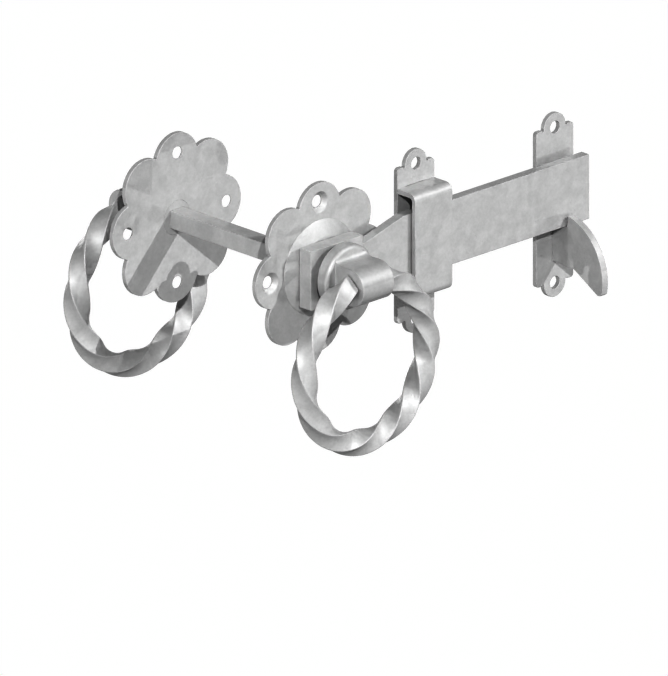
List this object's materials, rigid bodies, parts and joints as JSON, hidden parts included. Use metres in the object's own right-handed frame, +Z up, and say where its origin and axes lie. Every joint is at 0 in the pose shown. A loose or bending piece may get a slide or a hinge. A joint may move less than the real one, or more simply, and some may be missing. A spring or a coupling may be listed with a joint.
{
  "type": "gate latch",
  "caption": "Ring gate latch: twisted ring handles on flower-shaped roses turn a square spindle that lifts a flat bar out of a catch hook.",
  "frame": {"origin": "on the spindle's axis at the back face of the front rose, which is the gate's inner face", "axes": "+X along the latch bar to its tip, -Y inward off the gate's inner face towards the user, +Z up"},
  "size_m": [0.1753, 0.1404, 0.1043],
  "materials": {
    "galvanised_plate": "hot-dip galvanised flat steel, satin, with a faint cloudy zinc figure",
    "galvanised_casting": "hot-dip galvanised forging, smooth and brighter than the flat plates",
    "galvanised_ring": "hot-dip galvanised twisted square bar with bright softened edges",
    "plain_steel": "plain zinc-plated steel fixing"
  },
  "bodies": {
    "fixed": {"front_rose": "galvanised_plate", "front_boss": "galvanised_casting", "rear_rose": "galvanised_plate", "rear_boss": "galvanised_casting", "staple_plate": "galvanised_plate", "staple_bridge": "galvanised_plate", "catch_plate": "galvanised_plate", "catch_hook": "galvanised_plate"},
    "latch": {"spindle": "galvanised_plate", "latch_hub": "galvanised_plate", "latch_bar": "galvanised_plate", "front_knuckle": "galvanised_casting", "front_grub_screw": "plain_steel", "rear_knuckle": "galvanised_casting", "rear_cross_pin": "plain_steel"},
    "front_ring": {"front_ring": "galvanised_ring"},
    "rear_ring": {"rear_ring": "galvanised_ring"}
  },
  "joints": [
    {"name": "spindle_turn", "type": "hinge", "parent": "fixed", "child": "latch", "pos_m": [0, 0, 0], "axis": [0, -1, 0], "range_deg": [0, 5.1]},
    {"name": "front_ring_swing", "type": "hinge", "parent": "latch", "child": "front_ring", "pos_m": [0, -0.0271, 0], "axis": [-1, 0, 0], "range_deg": [-15, 195]},
    {"name": "rear_ring_swing", "type": "hinge", "parent": "latch", "child": "rear_ring", "pos_m": [0, 0.098, 0], "axis": [1, 0, 0], "range_deg": [-12, 192]}
  ]
}
